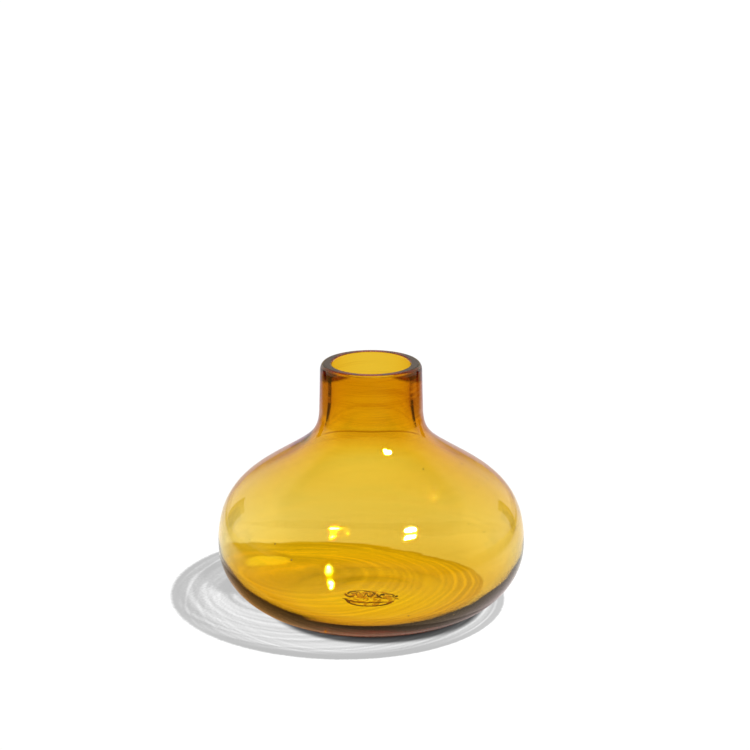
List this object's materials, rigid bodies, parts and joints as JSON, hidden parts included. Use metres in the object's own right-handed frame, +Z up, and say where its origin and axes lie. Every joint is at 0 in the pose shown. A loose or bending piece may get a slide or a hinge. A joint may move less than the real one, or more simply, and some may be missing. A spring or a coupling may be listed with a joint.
{
  "type": "glass bud vase",
  "caption": "Squat round blown-glass bud vase with a wide low belly, a short straight neck and a thick flat lip, for a few cut stems.",
  "frame": {"origin": "centre of the foot, on the surface the vase stands on", "axes": "+Z up along the vase's axis, towards the mouth; the vase is round, so X and Y are any two level directions, with -Y taken as the front"},
  "size_m": [0.106, 0.106, 0.0858],
  "materials": {
    "amber_glass": "clear fire-polished amber glass with small seeds and faint cords",
    "pontil_glass": "the same amber glass where the rod was cracked off: rough, folded and glossy"
  },
  "bodies": {
    "root": {"vessel": "amber_glass", "pontil_mark": "pontil_glass"}
  },
  "joints": []
}
